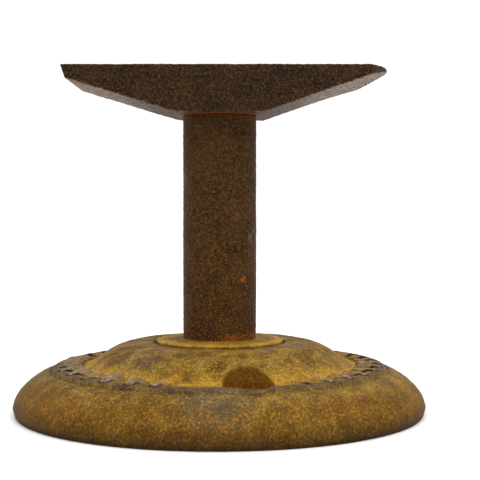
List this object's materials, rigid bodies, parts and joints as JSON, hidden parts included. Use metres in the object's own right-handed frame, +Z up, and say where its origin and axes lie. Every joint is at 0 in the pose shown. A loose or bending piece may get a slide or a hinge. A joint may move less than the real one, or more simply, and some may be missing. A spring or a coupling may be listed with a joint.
{
  "type": "bench anvil",
  "caption": "Small bench anvil: a forged head with a square end and a rounded end on a turned post, standing on a round hollow cast base that can be screwed down.",
  "frame": {"origin": "centre of the base's underside, on the axis of the post", "axes": "+Z up along the post, +X towards the rounded end of the head, -Y towards the viewer"},
  "size_m": [0.1396, 0.1396, 0.116],
  "materials": {
    "cast_base": "ochre-brown rust patina, fine grained, satin",
    "collar_iron": "ochre-brown rust patina, satin",
    "post_steel": "dark brown rust skin with orange flecks, rough",
    "head_steel": "blackened, pitted forge scale with brown rust, rough",
    "fixing_steel": "dull oxidised steel"
  },
  "bodies": {
    "root": {"base": "cast_base", "foot_collar": "collar_iron", "post": "post_steel", "anvil_head": "head_steel", "clamp_washer": "fixing_steel", "clamp_nut": "fixing_steel"}
  },
  "joints": []
}
